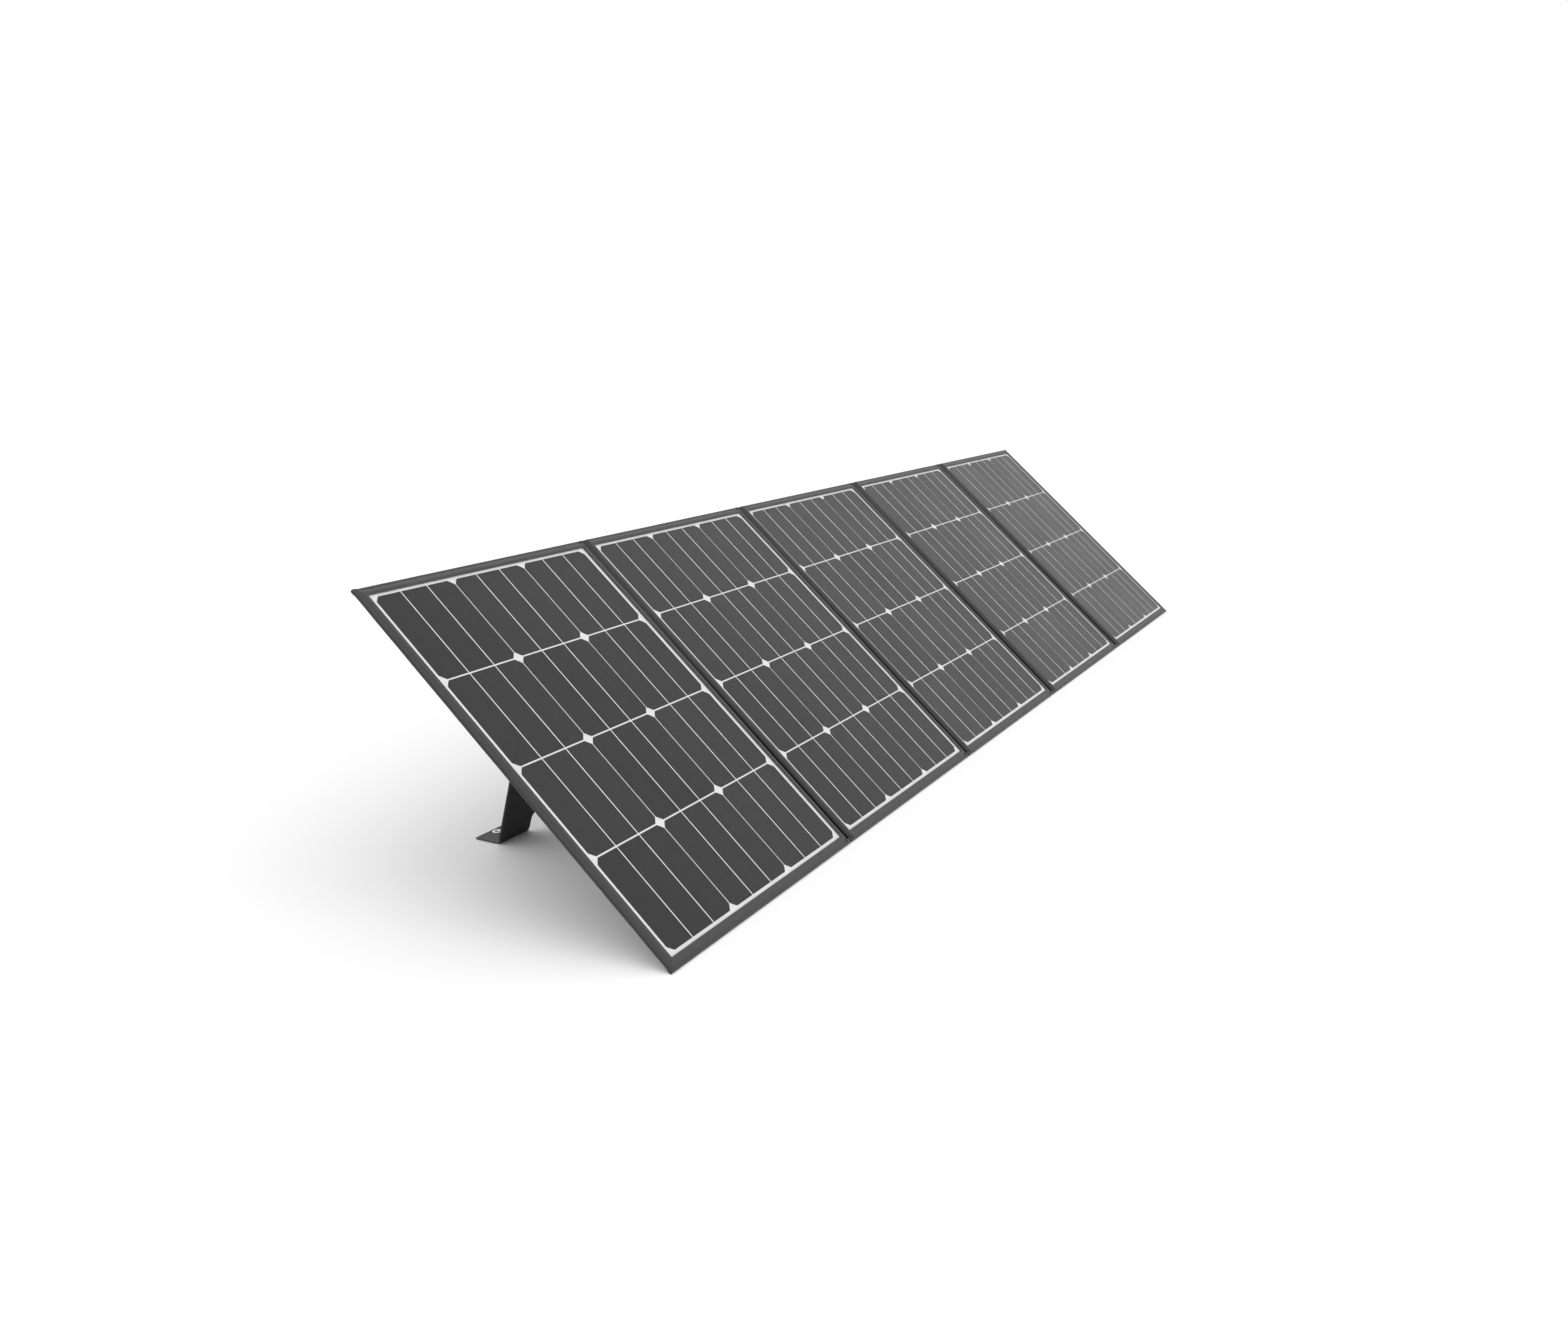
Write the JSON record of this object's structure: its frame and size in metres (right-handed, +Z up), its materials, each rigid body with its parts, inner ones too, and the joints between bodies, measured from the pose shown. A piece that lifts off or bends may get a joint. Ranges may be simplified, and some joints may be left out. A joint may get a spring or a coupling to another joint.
{
  "type": "folding solar panel",
  "caption": "Portable fold-out solar panel: framed cell panels joined by fabric hinges, propped on flap kickstands with ground feet.",
  "frame": {"origin": "bottom centre of the deployed panel's bounding box, on the floor", "axes": "+X along the row of panels, +Y from the sunny face towards the kickstands, +Z up"},
  "size_m": [2.085, 0.4332, 0.3622],
  "materials": {
    "textile": "matte woven polyester",
    "board": "matte",
    "backsheet": "satin white",
    "silicon": "dark anti-reflection coating",
    "film": "satin clear film",
    "steel": "bright",
    "webbing": "ribbed webbing",
    "plastic": "fine moulded grain",
    "rubber": "matte",
    "circuit": "satin"
  },
  "bodies": {
    "panel_1": {"back_cover_1": "textile", "stiffener_board_1": "board", "backsheet_1": "backsheet", "cell_string_1": "silicon", "front_film_1": "film", "front_frame_1": "textile", "leg_1_anchor": "textile"},
    "panel_2": {"back_cover_2": "textile", "stiffener_board_2": "board", "backsheet_2": "backsheet", "cell_string_2": "silicon", "front_film_2": "film", "front_frame_2": "textile"},
    "panel_3": {"back_cover_3": "textile", "stiffener_board_3": "board", "backsheet_3": "backsheet", "cell_string_3": "silicon", "front_film_3": "film", "front_frame_3": "textile", "leg_3_anchor": "textile"},
    "panel_4": {"back_cover_4": "textile", "stiffener_board_4": "board", "backsheet_4": "backsheet", "cell_string_4": "silicon", "front_film_4": "film", "front_frame_4": "textile", "junction_box_base": "plastic", "junction_box_lid": "plastic", "junction_box_circuit": "circuit", "output_socket": "plastic"},
    "panel_5": {"back_cover_5": "textile", "stiffener_board_5": "board", "backsheet_5": "backsheet", "cell_string_5": "silicon", "front_film_5": "film", "front_frame_5": "textile", "leg_5_anchor": "textile"},
    "leg_1": {"leg_1_sleeve": "textile", "leg_1_board": "board", "leg_1_strap": "webbing"},
    "foot_1": {"leg_1_foot": "textile", "leg_1_eyelet": "steel"},
    "leg_3": {"leg_3_sleeve": "textile", "leg_3_board": "board", "leg_3_strap": "webbing"},
    "foot_3": {"leg_3_foot": "textile", "leg_3_eyelet": "steel"},
    "leg_5": {"leg_5_sleeve": "textile", "leg_5_board": "board", "leg_5_strap": "webbing"},
    "foot_5": {"leg_5_foot": "textile", "leg_5_eyelet": "steel"},
    "dust_cap": {"dust_cap": "rubber"}
  },
  "joints": [
    {"name": "hinge_12", "type": "hinge", "parent": "panel_2", "child": "panel_1", "pos_m": [-0.6298, -0.00374, 0.17285], "axis": [0, -0.7513, -0.66], "range_deg": [0, 179.5]},
    {"name": "hinge_23", "type": "hinge", "parent": "panel_3", "child": "panel_2", "pos_m": [-0.2176, -0.01364, 0.18412], "axis": [0, 0.7513, 0.66], "range_deg": [0, 179.5]},
    {"name": "hinge_34", "type": "hinge", "parent": "panel_3", "child": "panel_4", "pos_m": [0.1996, -0.00374, 0.17285], "axis": [0, 0.7513, 0.66], "range_deg": [0, 179.5]},
    {"name": "hinge_45", "type": "hinge", "parent": "panel_4", "child": "panel_5", "pos_m": [0.6228, -0.01364, 0.18412], "axis": [0, -0.7513, -0.66], "range_deg": [0, 179.5]},
    {"name": "leg_1_fold", "type": "hinge", "parent": "panel_1", "child": "leg_1", "pos_m": [-0.8045, 0.10075, 0.2721], "axis": [1, 0, 0], "range_deg": [-64.32, 0], "deforming": ["leg_1_strap"]},
    {"name": "foot_1_fold", "type": "hinge", "parent": "leg_1", "child": "foot_1", "pos_m": [-0.81825, 0.17657, 0.001], "axis": [1, 0, 0], "range_deg": [-74.38, 0]},
    {"name": "leg_3_fold", "type": "hinge", "parent": "panel_3", "child": "leg_3", "pos_m": [0.0199, 0.10075, 0.2721], "axis": [1, 0, 0], "range_deg": [-64.32, 0], "deforming": ["leg_3_strap"]},
    {"name": "foot_3_fold", "type": "hinge", "parent": "leg_3", "child": "foot_3", "pos_m": [0.00615, 0.17657, 0.001], "axis": [1, 0, 0], "range_deg": [-74.38, 0]},
    {"name": "leg_5_fold", "type": "hinge", "parent": "panel_5", "child": "leg_5", "pos_m": [0.8663, 0.10075, 0.2721], "axis": [1, 0, 0], "range_deg": [-64.32, 0], "deforming": ["leg_5_strap"]},
    {"name": "foot_5_fold", "type": "hinge", "parent": "leg_5", "child": "foot_5", "pos_m": [0.85255, 0.17657, 0.001], "axis": [1, 0, 0], "range_deg": [-74.38, 0]},
    {"name": "dust_cap_swing", "type": "hinge", "parent": "panel_4", "child": "dust_cap", "pos_m": [0.4112, 0.11909, 0.27516], "axis": [-1, 0, 0], "range_deg": [-120, 0]}
  ],
  "couplings": [
    {"joint": "leg_1_fold", "follows": "hinge_12", "ratio": -0.35834},
    {"joint": "foot_1_fold", "follows": "hinge_12", "ratio": -0.41434},
    {"joint": "leg_3_fold", "follows": "hinge_34", "ratio": -0.35834},
    {"joint": "foot_3_fold", "follows": "hinge_34", "ratio": -0.41434},
    {"joint": "leg_5_fold", "follows": "hinge_34", "ratio": -0.35834},
    {"joint": "foot_5_fold", "follows": "hinge_34", "ratio": -0.41434}
  ]
}
